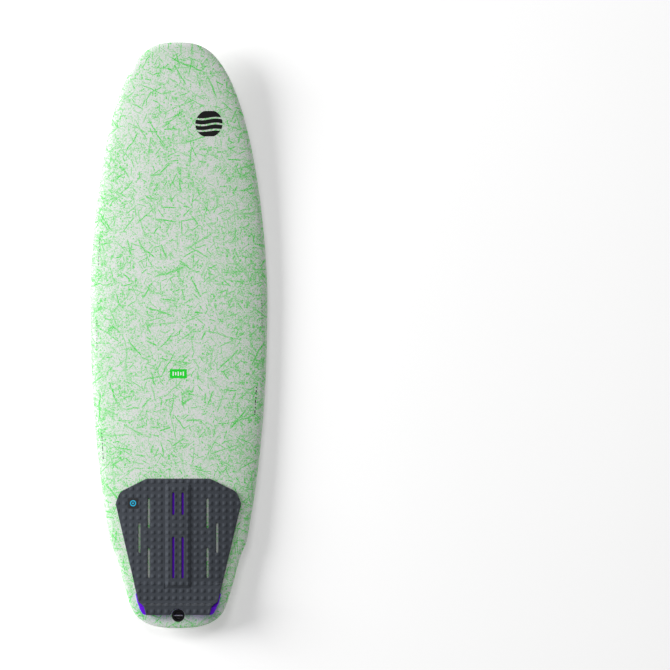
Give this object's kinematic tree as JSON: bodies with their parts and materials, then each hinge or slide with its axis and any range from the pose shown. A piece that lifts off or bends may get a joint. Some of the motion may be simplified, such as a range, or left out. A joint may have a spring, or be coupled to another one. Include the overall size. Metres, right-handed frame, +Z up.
{
  "type": "kiteboard",
  "caption": "Directional surf-style kiteboard: laminated foam hull with fin boxes and clamping grub screws, leash plug and ribbed EVA tail pad.",
  "frame": {"origin": "on the ground under the middle of the board's length and width, with the board lying on its rocker", "axes": "+Y towards the nose along the length, +X to the right seen from the deck, +Z up out of the deck"},
  "size_m": [0.4712, 1.5498, 0.1103],
  "materials": {
    "deck_laminate": "gloss clear coat over a pale grey print with green crackle",
    "bottom_laminate": "gloss clear coat over a pale grey-green print",
    "black_plastic": "moulded glass-filled nylon",
    "pin_steel": "bright stainless",
    "screw_steel": "dull stainless",
    "dense_foam": "high density PU foam",
    "sandwich_patch": "PVC foam sandwich sheet",
    "plywood": "sanded plywood",
    "core_foam": "closed-cell foam",
    "band_laminate": "unidirectional laminate strip",
    "eva_dark": "matt EVA foam, slate grey",
    "eva_purple": "matt EVA foam, purple",
    "badge_plastic": "gloss printed badge"
  },
  "bodies": {
    "root": {"deck_skin": "deck_laminate", "bottom_skin": "bottom_laminate", "fin_box_left": "black_plastic", "fin_box_right": "black_plastic", "fin_box_centre": "black_plastic", "leash_cup": "black_plastic", "leash_pin": "pin_steel", "fin_block_left": "dense_foam", "fin_block_right": "dense_foam", "fin_block_centre": "dense_foam", "leash_block": "dense_foam", "deck_reinforcement": "sandwich_patch", "bottom_band_left": "band_laminate", "bottom_band_right": "band_laminate", "centre_stringer": "plywood", "foam_core_left": "core_foam", "foam_core_right": "core_foam", "pad_main": "eva_dark", "pad_kick_wedge": "eva_purple", "pad_arch_bar": "eva_purple", "pad_badge": "badge_plastic"},
    "screw_left_front": {"screw_left_front": "screw_steel"},
    "screw_left_rear": {"screw_left_rear": "screw_steel"},
    "screw_right_front": {"screw_right_front": "screw_steel"},
    "screw_right_rear": {"screw_right_rear": "screw_steel"},
    "screw_centre_front": {"screw_centre_front": "screw_steel"},
    "screw_centre_rear": {"screw_centre_rear": "screw_steel"}
  },
  "joints": [
    {"name": "left_front_screw_travel", "type": "slide", "parent": "root", "child": "screw_left_front", "axis": [-0.7068, 0.0759, 0.7034], "range_m": [0, 0.0035]},
    {"name": "left_rear_screw_travel", "type": "slide", "parent": "root", "child": "screw_left_rear", "axis": [-0.7068, 0.0759, 0.7034], "range_m": [0, 0.0035]},
    {"name": "right_front_screw_travel", "type": "slide", "parent": "root", "child": "screw_right_front", "axis": [0.7068, 0.0759, 0.7034], "range_m": [0, 0.0035]},
    {"name": "right_rear_screw_travel", "type": "slide", "parent": "root", "child": "screw_right_rear", "axis": [0.7068, 0.0759, 0.7034], "range_m": [0, 0.0035]},
    {"name": "centre_front_screw_travel", "type": "slide", "parent": "root", "child": "screw_centre_front", "axis": [-0.7071, 0.0765, 0.703], "range_m": [0, 0.0035]},
    {"name": "centre_rear_screw_travel", "type": "slide", "parent": "root", "child": "screw_centre_rear", "axis": [0.7071, 0.0765, 0.703], "range_m": [0, 0.0035]}
  ]
}
